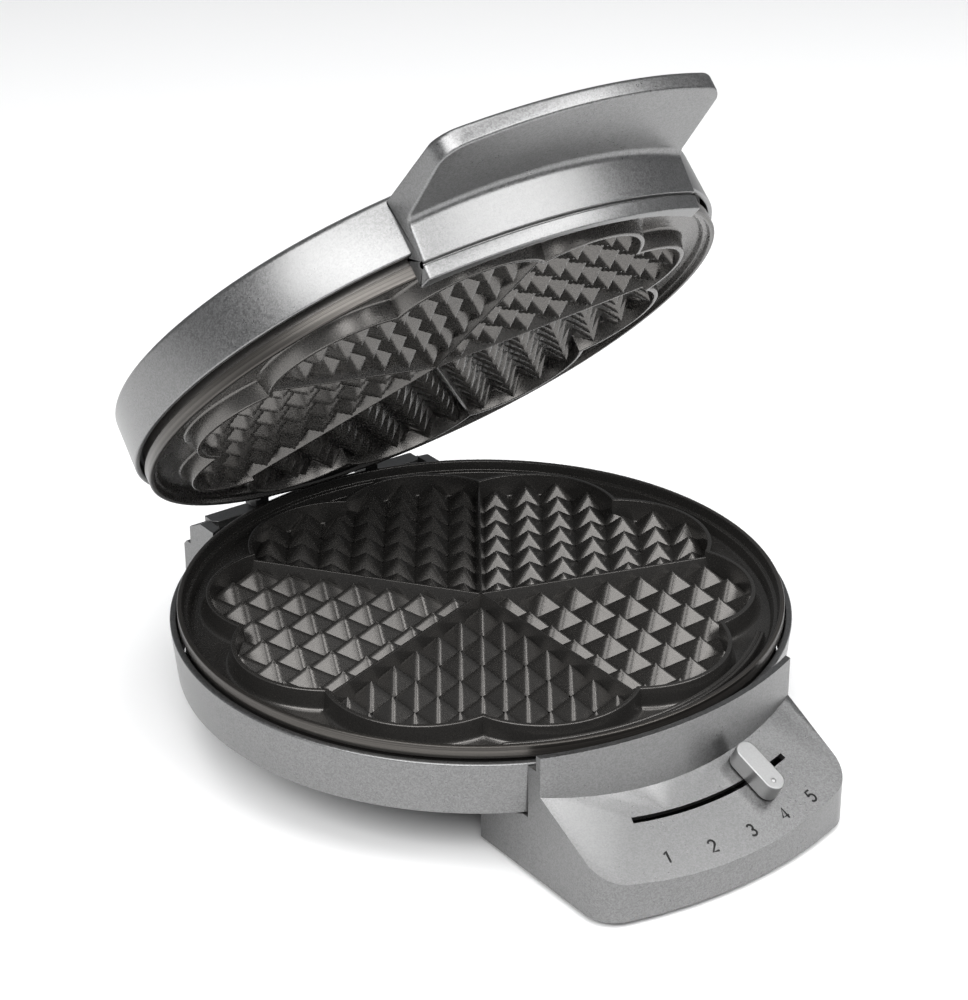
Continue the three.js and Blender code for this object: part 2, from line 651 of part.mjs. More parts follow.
function lidShell() {
  const cap = turned([
    [0, 38.4],
    [70, 37.9],
    [110, 36.9],
    [116.6, LID_BAND_HIGH],
    [LID_BAND_R - 0.4, LID_BAND_HIGH - 2.4],
    [LID_BAND_R, LID_BAND_LOW],
    [LID_BAND_R - 2, LID_BAND_LOW],
    [LID_BAND_R - 2.2, 32.8],
    [108, 34.4],
    [0, 36],
  ]);
  const holes = handleScrews.map((x) => alongY(2, x, -125, -105, HANDLE_SCREW_Z, 8));
  return cut(cap, HINGE_NOTCH, ...holes);
}

// A dark ring that carries the plate inside the cap.
function lidRing() {
  const ring = turned([[113, 17.3], [117, 17.3], [117, 20], [113, 20]], INNER_SEGMENTS);
  return cut(ring, block(-31.6, 31.6, 100, 130, 0, 40));
}

function upperPlate() {
  const straightRim = block(-33.4, 33.4, 107.2, 109.4, CONTACT + GAP / 2, 13);
  return join(cut(mirrored(plateBody(UPPER_HEARTS)), HINGE_NOTCH), straightRim);
}

// The block between the ears: a round eye for both pins with an arm that rises into the lid.
function lidHingeBlock() {
  const half = EAR[0] - 0.6;
  const arm = block(-half, half, 110, 113.8, HINGE_Z, 30);
  const barrel = acrossX(BARREL_R, -half, half, HINGE_Y, HINGE_Z, 24);
  const tongue = block(-half, half, 101, 112, 30.4, 32.6);
  const riser = block(-half, half, 110, 112, 28, 32.6);
  const bores = sides.map(([, s]) => acrossX(PIN_R + 0.2, s > 0 ? 14 : -half - 1, s > 0 ? half + 1 : -14, HINGE_Y, HINGE_Z));
  const screws = [-14, 14].map((x) => alongY(1.8, x, 104, 118, 24, 8));
  return cut(join(arm, barrel, tongue, riser), ...bores, ...screws);
}

function hingeBlockScrew(x) {
  return join(alongY(3, x, 106.6, 109.6, 24), alongY(1.4, x, 108, 114, 24, 8));
}

// The handle from the side, thick at the root and thin at the tip of its visor.
function handle() {
  const reach = 157.2;
  const axisY = PANEL_AXIS_Y + 3.7;
  const panel = bowed(axisY, [[152, 1.3], [152.6, 6.6], [153.2, 7], [155, 23.2], [155, 30]]);
  const inside = join(drum(PLATE_R + 1, -10, LID_BAND_LOW - 0.5), drum(LID_BAND_R + 0.5, LID_BAND_LOW - 0.6, 60));
  const visorSide = [[-100, 21], [-113, 22.7], [-reach, 28.8], [-reach, 35], [-114.7, 33.4], [-108, 35.2], [-100, 35.2]];
  const visor = sideways(visorSide, -80, 80);
  const blank = prism(handleOutline(), 0, 40, 5);
  const body = common(cut(join(cut(panel, block(-80, 80, -90, 160, -10, 50)), visor), inside), blank);
  const holes = handleScrews.map((x) => alongY(1.8, x, -121.5, -100, HANDLE_SCREW_Z, 8));
  return cut(body, ...holes);
}

// The handle seen from above: straight sides, rounded front corners, a shallow bow in front.
function handleOutline() {
  const [x, corner, bow, front] = [59.2, 11, 182, -156.9];
  const centreY = front + bow;
  const cornerY = centreY - Math.sqrt((bow - corner) ** 2 - (x - corner) ** 2);
  const lean = Math.atan2(x - corner, centreY - cornerY);
  const shape = new THREE.Shape();
  shape.moveTo(x, -96);
  shape.lineTo(-x, -96);
  shape.absarc(-x + corner, cornerY, corner, Math.PI, 1.5 * Math.PI - lean, false);
  shape.absarc(0, centreY, bow, 1.5 * Math.PI - lean, 1.5 * Math.PI + lean, false);
  shape.absarc(x - corner, cornerY, corner, 1.5 * Math.PI + lean, 2 * Math.PI, false);
  return shape;
}

function handleScrew(x) {
  return join(alongY(3, x, -110.6, -108.6, HANDLE_SCREW_Z), alongY(1.4, x, -120, -110, HANDLE_SCREW_Z, 8));
}

place(lid, "lid_shell", lidShell(), SILVER);
place(lid, "lid_ring", lidRing(), DARK_PLASTIC);
place(lid, "upper_plate", upperPlate(), COATED);
place(lid, "upper_heating_element", mirrored(elementTube()), STEEL);
place(lid, "upper_reflector", mirrored(reflector()), BRIGHT_SHEET);
[60, 180, 300].forEach((a, i) => place(lid, `upper_plate_screw_${i + 1}`, mirrored(plateScrew(a)), STEEL));
place(lid, "lid_hinge_block", lidHingeBlock(), DARK_PLASTIC);
[-14, 14].forEach((x, i) => place(lid, `hinge_block_screw_${i + 1}`, hingeBlockScrew(x), STEEL));
place(lid, "lid_handle", handle(), SILVER);
handleScrews.forEach((x, i) => place(lid, `handle_screw_${i + 1}`, handleScrew(x), STEEL));

export default root;
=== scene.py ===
# %% [markdown]
# # A waffle maker that bakes five hearts
#
# The real thing is two coated aluminium plates that shut on each other like a book. The lower one lies in a
# silver plastic ring on a dark pan, the upper one in a silver lid that hangs on a hinge at the back. A
# console with a slider stands out in front, and a handle like a cap's visor stands out of the lid above it.
#
# The frame gives every piece its place. What shows is built again here as smooth surfaces, and what is
# hidden keeps its plain solid and only gets a finish.

# %% Load the frame
import json
import math

import bmesh
import bpy
import numpy as np
from mathutils import Matrix, Vector

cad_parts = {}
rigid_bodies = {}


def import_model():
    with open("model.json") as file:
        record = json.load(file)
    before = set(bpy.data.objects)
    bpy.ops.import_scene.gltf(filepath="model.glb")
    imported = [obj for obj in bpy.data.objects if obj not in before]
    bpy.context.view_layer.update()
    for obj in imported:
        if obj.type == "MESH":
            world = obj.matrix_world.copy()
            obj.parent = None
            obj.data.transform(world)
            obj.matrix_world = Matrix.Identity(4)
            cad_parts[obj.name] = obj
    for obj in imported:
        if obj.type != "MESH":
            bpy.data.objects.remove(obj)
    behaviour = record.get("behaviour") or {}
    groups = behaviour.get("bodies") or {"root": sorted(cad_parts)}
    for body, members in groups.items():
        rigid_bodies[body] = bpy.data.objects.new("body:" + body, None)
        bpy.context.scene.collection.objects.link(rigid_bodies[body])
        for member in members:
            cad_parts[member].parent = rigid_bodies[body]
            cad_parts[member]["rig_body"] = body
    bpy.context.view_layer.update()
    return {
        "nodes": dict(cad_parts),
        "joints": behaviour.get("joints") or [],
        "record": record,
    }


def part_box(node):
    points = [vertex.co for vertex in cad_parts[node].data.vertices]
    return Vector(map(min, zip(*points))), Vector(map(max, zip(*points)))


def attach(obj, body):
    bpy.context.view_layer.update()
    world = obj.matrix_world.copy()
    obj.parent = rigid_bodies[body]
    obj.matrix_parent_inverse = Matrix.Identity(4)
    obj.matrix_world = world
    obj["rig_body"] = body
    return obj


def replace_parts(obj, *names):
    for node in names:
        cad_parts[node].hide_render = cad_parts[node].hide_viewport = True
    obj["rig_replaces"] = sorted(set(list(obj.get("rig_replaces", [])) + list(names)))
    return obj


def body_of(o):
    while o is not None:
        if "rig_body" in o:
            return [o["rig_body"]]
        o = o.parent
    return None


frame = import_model()

# %% [markdown]
# ## Where things are
#
# All the round parts share one upright axis, so it is easiest to draw every piece in millimetres from the
# point where that axis meets the top edge of the base band. The lid is drawn shut, in the same numbers, and
# turned open about the hinge at the end. Another way would be to draw the lid where it stands, but then
# none of its circles would be a plain circle.

# %% The shared axis and the hinge
MM = 1000
band_low, band_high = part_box("base_band")
AXIS_Y = (band_low.y + band_high.y) / 2 * MM
BAND_TOP = band_high.z * MM
BAND_R = (band_high.x - band_low.x) / 2 * MM

lid_joint = next(j for j in frame["joints"] if j["name"] == "lid_hinge")
HINGE_Y = lid_joint["pos_m"][1] * MM - AXIS_Y
HINGE_Z = lid_joint["pos_m"][2] * MM - BAND_TOP
LID_OPEN = math.radians(-lid_joint["range_deg"][0])
print(f"band {BAND_R:.1f} mm in radius, hinge at {HINGE_Y:.1f}, {HINGE_Z:.1f}")


def on_base(points):
    """Drawing numbers in millimetres become metres in the frame."""
    return (np.asarray(points, float) + [0, AXIS_Y, BAND_TOP]) / MM


def on_lid(points):
    """The same after a turn by a about the hinge: y' = y cos a + z sin a and z' = z cos a - y sin a, where y
    and z are measured from the hinge."""
    p = np.array(points, float)
    y, z = p[..., 1] - HINGE_Y, p[..., 2] - HINGE_Z
    c, s = math.cos(LID_OPEN), math.sin(LID_OPEN)
    p[..., 1] = y * c + z * s + HINGE_Y
    p[..., 2] = z * c - y * s + HINGE_Z
    return on_base(p)


# %% [markdown]
# ## The camera
#
# The camera stands to the left of the front, a little above the open lid's middle, about 0.93 m away. A
# long lens keeps the round plates from bulging.

# %% Camera
AZIMUTH, ELEVATION, ROLL = map(math.radians, (-36.45, 26.89, -0.16))
DISTANCE = 0.93266
TARGET = Vector(on_base([5.54, 6.34, 23.27]))

back = Vector((
    math.sin(AZIMUTH) * math.cos(ELEVATION),
    -math.cos(AZIMUTH) * math.cos(ELEVATION),
    math.sin(ELEVATION),
))
right = Vector((math.cos(AZIMUTH), math.sin(AZIMUTH), 0))
camera_data = bpy.data.cameras.new("camera")
camera_data.lens = 86.89
camera_data.sensor_width = 36
camera_data.shift_x = 0.0016
camera_data.shift_y = 0.0358
camera_data.clip_start = 0.05
camera = bpy.data.objects.new("camera", camera_data)
turn = Matrix((right, back.cross(right), back)).transposed().to_4x4()
camera.matrix_world = Matrix.Translation(TARGET + DISTANCE * back) @ turn @ Matrix.Rotation(ROLL, 4, "Z")
bpy.context.scene.collection.objects.link(camera)
bpy.context.scene.camera = camera
print("camera at", [round(v, 3) for v in camera.matrix_world.translation])

# %% [markdown]
# ## Surfaces from grids
#
# Nearly every piece here is a sheet of points with two directions, round and along, so one function turns
# such a sheet into quads. A sheet that closes on itself both ways, or is capped at its ends, is a closed
# body. Its volume worked out from its faces tells whether they point outwards, and if not they are turned
# round.


# %% Grid to faces
def sheet(points, wrap_u=False, wrap_v=False, caps=False):
    """Points of shape (u, v, 3) as vertices and quads; caps closes the first and last row of a wrapped v."""
    nu, nv = points.shape[:2]
    index = np.arange(nu * nv).reshape(nu, nv)
    rows = np.concatenate([index, index[:1]]) if wrap_u else index
    cells = np.concatenate([rows, rows[:, :1]], axis=1) if wrap_v else rows
    quads = np.stack([cells[:-1, :-1], cells[1:, :-1], cells[1:, 1:], cells[:-1, 1:]], axis=-1)
    faces = quads.reshape(-1, 4).tolist()
    if caps:
        faces += [index[0].tolist(), index[-1][::-1].tolist()]
    return points.reshape(-1, 3), faces


def volume(points, faces):
    """Six times the signed volume: the sum over each face's fan of a . (b x c)."""
    fans = [(f[0], f[k], f[k + 1]) for f in faces for k in range(1, len(f) - 1)]
    a, b, c = (points[list(side)] for side in zip(*fans))
    return float(np.einsum("ij,ij->", a, np.cross(b, c)))


def outward(part):
    """The part itself if its volume is positive, else the same points with every face turned round."""
    points, faces = part
    return part if volume(points, faces) > 0 else (points, [f[::-1] for f in faces])


def flipped(part, plane):
    """A part turned over through a level plane, with its faces turned round to stay outwards."""
    points, faces = part
    over = points * [1, 1, -1] + [0, 0, 2 * plane]
    return over, [f[::-1] for f in faces]


# %% Mesh objects
CREASE = math.radians(38)


def piece(name, parts, place, body, nodes=(), crease=CREASE):
    """One object from several parts, welded at poles and seams, and smooth except across edges sharper than
    crease."""
    points = np.concatenate([p for p, _ in parts])
    starts = np.cumsum([0] + [len(p) for p, _ in parts])
    faces = [[i + start for i in f] for (_, fs), start in zip(parts, starts) for f in fs]
    mesh = bpy.data.meshes.new(name)
    mesh.from_pydata(place(points).tolist(), [], faces)
    work = bmesh.new()
    work.from_mesh(mesh)
    bmesh.ops.remove_doubles(work, verts=work.verts, dist=1e-6)
    bmesh.ops.dissolve_degenerate(work, edges=work.edges, dist=1e-7)
    work.to_mesh(mesh)
    work.free()
    mesh.shade_smooth()
    mesh.set_sharp_from_angle(angle=crease)
    thing = bpy.data.objects.new(name, mesh)
    bpy.context.scene.collection.objects.link(thing)
    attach(thing, body)
    if nodes:
        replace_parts(thing, *nodes)
    print(f"{name}: {len(mesh.polygons)} faces")
    return thing


# %% [markdown]
# ## Rounded corners
#
# Moulded and cast pieces have no sharp corners, and it is the small radii that catch the light along every
# edge. A profile is written with a few corner points, each with its radius, and the arcs are worked out
# from those. The Bevel modifier could do the same on the finished mesh, and does so below for the small
# pieces.


# %% Profiles with arcs at their corners
def rounded(corners, steps=5):
    """A closed outline from (a, b, radius) corners. Each arc touches both sides: it starts r / tan(half) from
    the corner, where half is half the corner's inner angle, and sweeps round a centre on the bisector."""
    c = np.asarray(corners, float)
    here, radius = c[:, :2], c[:, 2]
    to_last = np.roll(here, 1, axis=0) - here
    to_next = np.roll(here, -1, axis=0) - here
    to_last /= np.linalg.norm(to_last, axis=1, keepdims=True)
    to_next /= np.linalg.norm(to_next, axis=1, keepdims=True)
    half = np.arccos(np.clip((to_last * to_next).sum(1), -1, 1)) / 2
    bisector = to_last + to_next
    bisector /= np.maximum(np.linalg.norm(bisector, axis=1, keepdims=True), 1e-9)
    centre = here + bisector * (radius / np.sin(half))[:, None]
    start = here + to_last * (radius / np.tan(half))[:, None] - centre
    stop = here + to_next * (radius / np.tan(half))[:, None] - centre
    a0 = np.arctan2(start[:, 1], start[:, 0])
    swing = (np.arctan2(stop[:, 1], stop[:, 0]) - a0 + math.pi) % (2 * math.pi) - math.pi
    angle = a0[:, None] + swing[:, None] * np.linspace(0, 1, steps + 1)
    arc = centre[:, None] + radius[:, None, None] * np.stack([np.cos(angle), np.sin(angle)], axis=-1)
    return arc.reshape(-1, 2)


def circle_angles(count, start=0.0):
    return start + np.linspace(0, 2 * math.pi, count, endpoint=False)


def turned(profile, angles):
    """A closed profile of (radius, height) carried round the upright axis; 0 degrees is the front, -Y."""
    r, z = np.asarray(profile, float).T
    a = np.asarray(angles)[:, None]
    points = np.stack([r * np.sin(a), -r * np.cos(a), z + 0 * a], axis=-1)
    return outward(sheet(points, wrap_u=True, wrap_v=True))


# %% [markdown]
# ## Base band and pan
#
# The band is a plain moulded ring that leans in a little towards its foot. The pan below it is a shallow
# dish. Both are lathe shapes: a profile carried round the axis.

# %% Base band and pan
NEAR_AXIS = 0.001
band = rounded([
    (BAND_R, 0, 0.7),
    (117.5, 0, 0.3),
    (117.5, -6.3, 0.1),
    (116.6, -8.3, 0.1),
    (115.8, -21.3, 0.2),
    (118, -21.3, 0.5),
])
piece("base_band_shape", [turned(band, circle_angles(360))], on_base, "base", ["base_band"])

pan_low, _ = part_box("base_pan")
PAN_FLOOR = pan_low.z * MM - BAND_TOP
PAN_WALL = 2.2
pan = rounded([
    (NEAR_AXIS, PAN_FLOOR, 0),
    (70, PAN_FLOOR, 6),
    (117.4, -21.6, 0.5),
    (113, -21.6, 0.3),
    (69, PAN_FLOOR + PAN_WALL, 5),
    (NEAR_AXIS, PAN_FLOOR + PAN_WALL, 0),
])
piece("base_pan_shape", [turned(pan, circle_angles(240))], on_base, "base", ["base_pan"])

# %% [markdown]
# ## The five hearts
#
# Seen from above, the hearts' outline is ten arcs in a ring that meet in cusps: two lobes to a heart, and
# every second cusp is where two hearts touch. In polar form it is one formula, so walls, fillets and
# channel are rings of the same sheet, each grown from the outline by its own amount. The upper hearts are a
# little smaller and stand deeper, so that their walls nest inside the lower ones; their heights are given
# as if the lid lay on its back.
#
# In each table, centre is how far the lobes' centres lie from the hearts' middle, lobe is their radius,
# back is how far the hearts' middle lies behind the axis, and pitch is the pyramids' spacing. Then come the
# heights of the floor, the channel, the ledge inside the rim, the dividers and the walls' crest. The wall's
# outer side leans out by draft and ends in a fillet of radius foot.

# %% Outline of the hearts
HEARTS, TURN = 5, 72
WALL, CONTACT, PLATE_TOP = 1.8, 5.5, 5.35
LOWER_HEARTS = {
    "centre": 69, "lobe": 35.5, "back": 0, "pitch": 13.7,
    "floor": -4.5, "trough": -3, "ledge": 1.2, "ridge": 2.7, "crest": PLATE_TOP,
    "draft": 0.5, "foot": 2.2,
}
UPPER_HEARTS = {
    "centre": 70.1, "lobe": 31.3, "back": 0.7, "pitch": 13.86,
    "floor": 0.4, "trough": 1, "ledge": 3.4, "ridge": 6.25, "crest": 7.9,
    "draft": 1.5, "foot": 1.4,
}


def outline(hearts, angle, grow):
    """Distance from the middle: c cos d + sqrt((R + grow)^2 - (c sin d)^2), where c is the distance of the
    lobes' centres, R their radius, and d the angle to the middle of the nearest lobe."""
    centre, lobe = hearts["centre"], hearts["lobe"]
    step = math.radians(TURN / 2)
    d = np.mod(angle, step) - step / 2
    return centre * np.cos(d) + np.sqrt((lobe + grow) ** 2 - (centre * np.sin(d)) ** 2)


# %% Dish, walls and rim of a plate
CHANNEL_R, UNDERSIDE, RIM_STEPS, RING_POINTS = 108.6, -8.5, 4, 720


def fillet(grow, z, radius, from_degrees, to_degrees, steps=4):
    """(grow, z) points of an arc round the centre (grow, z)."""
    a = np.radians(np.linspace(from_degrees, to_degrees, steps + 1))
    return np.stack([grow + radius * np.cos(a), z + radius * np.sin(a)], axis=1)


def plate_dish(hearts):
    """Rings from the middle outwards: floor, wall up, its top, wall down, then circles for the channel and
    the rim, and back to the axis underneath. The hearts' rings lie round the hearts' own middle, the circles
    round the axis."""
    floor, trough, crest, ledge = (hearts[k] for k in ("floor", "trough", "crest", "ledge"))
    foot_at, foot_r = WALL + hearts["draft"] + hearts["foot"], hearts["foot"]
    angles = circle_angles(RING_POINTS)
    wall = np.concatenate([
        fillet(-1, floor + 1, 1, -90, 0),
        fillet(0.35, crest - 0.35, 0.35, 180, 90, 3),
        fillet(WALL - 0.5, crest - 0.5, 0.5, 90, 0, 3),
        fillet(foot_at, trough + foot_r, foot_r, 180, 262, 5),
    ])
    inner = outline(hearts, angles, -1)
    rings = [(inner * k, floor, hearts["back"]) for k in (0.0, 0.35, 0.7)]
    rings += [(outline(hearts, angles, g), z, hearts["back"]) for g, z in wall]
    foot = outline(hearts, angles, foot_at)
    beyond = np.maximum(CHANNEL_R, foot + 0.5) - foot
    rings += [(foot + beyond * k, trough, hearts["back"] * (1 - k)) for k in (0.5, 1)]
    rim = rounded([
        (110.4, trough, 0.3),
        (112.0, trough + 0.2, 0.8),
        (112.8, ledge, 0.6),
        (114.4, ledge, 0.5),
        (114.9, PLATE_TOP, 0.5),
        (116.9, PLATE_TOP, 0.6),
        (116.9, 0.6, 0.3),
        (115.2, 0.2, 0.2),
        (115.2, -6, 0.3),
        (108.5, -6, 0.5),
        (105.5, UNDERSIDE, 0.5),
        (NEAR_AXIS, UNDERSIDE, 0),
    ], RIM_STEPS)
    up_to_axis = rim[:-RIM_STEPS - 1]
    rings += [(r, z, 0) for r, z in up_to_axis] + [(0, UNDERSIDE, 0)]
    points = np.array([
        np.stack([r * np.sin(angles), back - r * np.cos(angles), z + 0 * angles], axis=-1)
        for r, z, back in rings
    ])
    return outward(sheet(points, wrap_v=True))


# %% [markdown]
# ## Pyramids
#
# The pyramids that press the waffle's pockets stand on a rhombic grid whose two directions are the two rays
# that bound the heart, 72 degrees apart. One height formula covers a whole heart. Where the grid runs into
# the wall, its points are pulled back into the wall's thickness, so the last pyramids are cut off cleanly
# as in the real casting.

# %% Pyramid field of one heart
PYRAMID, CELLS, FINE, SHARPNESS = 7.0, 8, 12, 22


def ray(degrees):
    """The level direction at this many degrees round from the front."""
    a = math.radians(degrees)
    return np.array([math.sin(a), -math.cos(a), 0.0])


def pyramid_field(hearts, heart):
    """Height over a cell: 1 - 2 (|s|^n + |t|^n)^(1/n), with s and t from the cell's middle. A large n keeps
    the four faces flat and gives the ridges between them a small radius."""
    steps = np.linspace(0, CELLS, CELLS * FINE + 1)
    s, t = np.meshgrid(steps, steps, indexing="ij")
    ds, dt = np.abs(np.mod(s, 1) - 0.5), np.abs(np.mod(t, 1) - 0.5)
    rise = 1 - 2 * (ds**SHARPNESS + dt**SHARPNESS) ** (1 / SHARPNESS)
    u, v = ray(TURN * heart), ray(TURN * (heart + 1))
    flat = hearts["pitch"] * (s[..., None] * u + t[..., None] * v)
    z = hearts["floor"] + PYRAMID * np.clip(rise, 0, 1)
    reach = np.hypot(flat[..., 0], flat[..., 1])
    limit = outline(hearts, np.arctan2(flat[..., 0], -flat[..., 1]), WALL / 2)
    beyond = reach > limit
    pull = np.where(beyond, limit / np.maximum(reach, 1e-6), 1)
    points = np.concatenate([flat[..., :2] * pull[..., None], z[..., None]], axis=-1)
    points[..., 1] += hearts["back"]
    vertices, faces = sheet(points)
    outside = beyond.reshape(-1)
    return vertices, [f for f in faces if not all(outside[i] for i in f)]


def divider(hearts, heart):
    """A thin ridge along a ray, a triangle with a rounded crest; it parts two hearts."""
    foot, ridge = hearts["floor"] - 0.2, hearts["ridge"]
    wide, narrow = 2.4, 0.45
    profile = rounded([(-wide, foot, 0), (wide, foot, 0), (narrow, ridge, 0.3), (-narrow, ridge, 0.3)])
    reach = outline(hearts, 0, WALL / 2)
    along = np.linspace(0, reach, 12)[:, None]
    across = ray(TURN * heart + 90)
    points = along[..., None] * ray(TURN * heart) + profile[:, 0][None, :, None] * across
    points[..., 1] += hearts["back"]
    points[..., 2] = profile[:, 1]
    return outward(sheet(points, wrap_v=True, caps=True))


def front_bead():
    """Two low rolls side by side along the front of the channel. Near each end their height falls with the
    square root of the distance left, which gives a round end."""
    trough, top = LOWER_HEARTS["trough"], 1.6
    angles = np.radians(np.linspace(-34, 40, 90))[:, None]
    ends = np.clip(np.minimum(angles - angles[0], angles[-1] - angles) / 0.03, 0.05, 1) ** 0.5
    profile = rounded([
        (107.2, trough - 0.3, 0), (107.5, top, 0.5), (108.8, top, 0.5), (109.1, 0.4, 0.3),
        (109.4, top, 0.5), (110.6, top, 0.5), (110.9, trough - 0.3, 0),
    ])
    r, z = profile[:, 0], (profile[:, 1] - trough) * ends + trough
    points = np.stack([r * np.sin(angles), -r * np.cos(angles), z + 0 * angles], axis=-1)
    return outward(sheet(points, wrap_v=True, caps=True))


# %% Both plates
def casting(hearts):
    fields = [pyramid_field(hearts, heart) for heart in range(HEARTS)]
    dividers = [divider(hearts, heart) for heart in range(HEARTS)]
    return [plate_dish(hearts)] + fields + dividers


turned_over = [flipped(part, CONTACT) for part in casting(UPPER_HEARTS)]
piece("lower_plate_shape", casting(LOWER_HEARTS) + [front_bead()], on_base, "base", ["lower_plate"])
piece("upper_plate_shape", turned_over, on_lid, "lid", ["upper_plate"])

# %% [markdown]
# ## Lid
#
# The lid is one moulded cap: a gently domed top and an upright band with a soft shoulder. At the back its
# edge is notched for the hinge. The notch is made by lifting the lowest rings over that stretch, with two
# rows of points close together at each end of it.

# %% Lid shell
LID_R, LID_LOW = 119.5, 13.04
NOTCH_HALF, NOTCH_TOP, NOTCH_FROM_R = 31.6, 19.8, 110
shell = rounded([
    (NEAR_AXIS, 38.4, 0),
    (70, 37.9, 40),
    (112, 37.0, 12),
    (118.9, 34.2, 2.2),
    (LID_R, LID_LOW, 0.6),
    (LID_R - 2, LID_LOW, 0.3),
    (LID_R - 2.2, 32.8, 1),
    (108, 34.4, 1),
    (NEAR_AXIS, 36, 0),
])
notch_edge = math.asin(NOTCH_HALF / LID_R)
notch_angles = [math.pi + side * notch_edge + gap for side in (-1, 1) for gap in (-1e-4, 1e-4)]
lid_angles = np.sort(np.concatenate([circle_angles(360, 0.003), notch_angles]))
r, z = shell.T
a = lid_angles[:, None]
in_notch = np.abs(a - math.pi) < notch_edge
height = np.where(in_notch & (r > NOTCH_FROM_R), np.maximum(z, NOTCH_TOP), z)
cap = np.stack([r * np.sin(a), -r * np.cos(a), height], axis=-1)
piece("lid_shell_shape", [outward(sheet(cap, wrap_u=True, wrap_v=True))], on_lid, "lid", ["lid_shell"])

# %% [markdown]
# ## Handle
#
# The handle is one moulding: a flange that drops in behind the console's panel, an upright panel, and a
# visor that stands out of it. Its cross-section changes only in how far each face stands out, so it is a
# loft: the same profile worked out again at each station from side to side. Near the sides the stations
# crowd together, and the last few shrink the profile to round the edge off.

# %% Handle
HANDLE_HALF, TIP_CORNER, TIP_BOW, TIP_FRONT = 59.2, 11, 182, -156.9
BOW_AXIS_Y = 31.8
EDGE = 0.9


def bow(x, radius):
    """Where a circle round the panel's own axis stands at x."""
    return BOW_AXIS_Y - np.sqrt(radius**2 - x**2)


def tip(x):
    """The visor's front edge: a shallow arc, then a corner arc that is tangent to it and to the side."""
    centre_y = TIP_FRONT + TIP_BOW
    corner_x = HANDLE_HALF - TIP_CORNER
    corner_y = centre_y - math.sqrt((TIP_BOW - TIP_CORNER) ** 2 - corner_x**2)
    switch = corner_x * TIP_BOW / (TIP_BOW - TIP_CORNER)
    x = abs(x)
    if x < switch:
        return centre_y - math.sqrt(TIP_BOW**2 - x**2)
    return corner_y - math.sqrt(max(TIP_CORNER**2 - (x - corner_x) ** 2, 0))


def slanting(y, root, end):
    """The height at y on a straight line from root to end, each a (y, z) pair."""
    return root[1] + (root[0] - y) * (end[1] - root[1]) / (root[0] - end[0])


def visor_bottom(y):
    return slanting(y, (-113, 22.7), (-157.2, 28.8))


def visor_top(y):
    return slanting(y, (-114.7, 33.4), (-157.2, 35))


def handle_section(x):
    """The closed profile at x: up the panel's front with its groove, round the visor, and down the back."""
    front, low, high = tip(x), bow(x, 152), bow(x, 155)
    inner, outer = -math.sqrt(117.3**2 - x**2), -math.sqrt(120.1**2 - x**2)
    groove = bow(x, 151.5)
    return rounded([
        (inner, 1.3, 0.4),
        (low, 1.3, 0.6),
        (bow(x, 152.5), 6.5, 0.45),
        (groove, 6.7, 0.15),
        (groove, 7.2, 0.15),
        (bow(x, 153.2), 7.4, 0.45),
        (high, visor_bottom(high) - 0.2, 3.6),
        (front, visor_bottom(front), 1.1),
        (front, visor_top(front), 1.7),
        (outer, visor_top(outer), 0.2),
        (outer, 12.9, 0.1),
        (inner, 12.9, 0.1),
    ], 6)


def shrunk(section, amount):
    """Every point moved inwards along its normal."""
    along = np.roll(section, -1, axis=0) - np.roll(section, 1, axis=0)
    normal = np.stack([along[:, 1], -along[:, 0]], axis=1)
    normal /= np.maximum(np.linalg.norm(normal, axis=1, keepdims=True), 1e-9)
    x, y = section.T
    area = np.sum(x * np.roll(y, -1) - np.roll(x, -1) * y)
    return section - normal * amount * np.sign(area)


inward = np.radians(np.linspace(90, 0, 6))
side = [(HANDLE_HALF - EDGE + EDGE * math.sin(a), EDGE * (1 - math.cos(a))) for a in inward]
middle = (HANDLE_HALF - EDGE) * np.sin(np.radians(np.linspace(84, -84, 75)))
stations = [(x, d) for x, d in side] + [(x, 0.0) for x in middle] + [(-x, d) for x, d in side[::-1]]
rows = []
for x, amount in stations:
    section = shrunk(handle_section(x), amount)
    rows.append(np.column_stack([np.full(len(section), x), section]))
loft = outward(sheet(np.array(rows), wrap_v=True, caps=True))
piece("lid_handle_shape", [loft], on_lid, "lid", ["lid_handle"])

# %% [markdown]
# ## Small and boxy pieces
#
# The console, the knob, the hinge's pieces and the feet already have their true shape in the frame, but
# with knife-sharp edges. A copy of each is welded, its flat faces joined up, and a Bevel modifier rounds
# the edges.


# %% Copies with rounded edges
def softened(node, width, segments=3, angle=32):
    """The node's own mesh with every edge sharper than angle rounded to width, in drawing numbers."""
    source = frame["nodes"][node]
    mesh = source.data.copy()
    mesh.name = node + "_shape"
    work = bmesh.new()
    work.from_mesh(mesh)
    bmesh.ops.remove_doubles(work, verts=work.verts, dist=2e-6)
    bmesh.ops.dissolve_limit(work, angle_limit=math.radians(0.6), verts=work.verts, edges=work.edges)
    work.to_mesh(mesh)
    work.free()
    thing = bpy.data.objects.new(node + "_shape", mesh)
    bpy.context.scene.collection.objects.link(thing)
    bevel = thing.modifiers.new("rounded edges", "BEVEL")
    bevel.width = width / MM
    bevel.segments = segments
    bevel.limit_method = "ANGLE"
    bevel.angle_limit = math.radians(angle)
    bevel.harden_normals = True
    bevel.miter_outer = "MITER_ARC"
    mesh.shade_smooth()
    mesh.set_sharp_from_angle(angle=math.radians(angle))
    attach(thing, body_of(source)[0])
    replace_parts(thing, node)


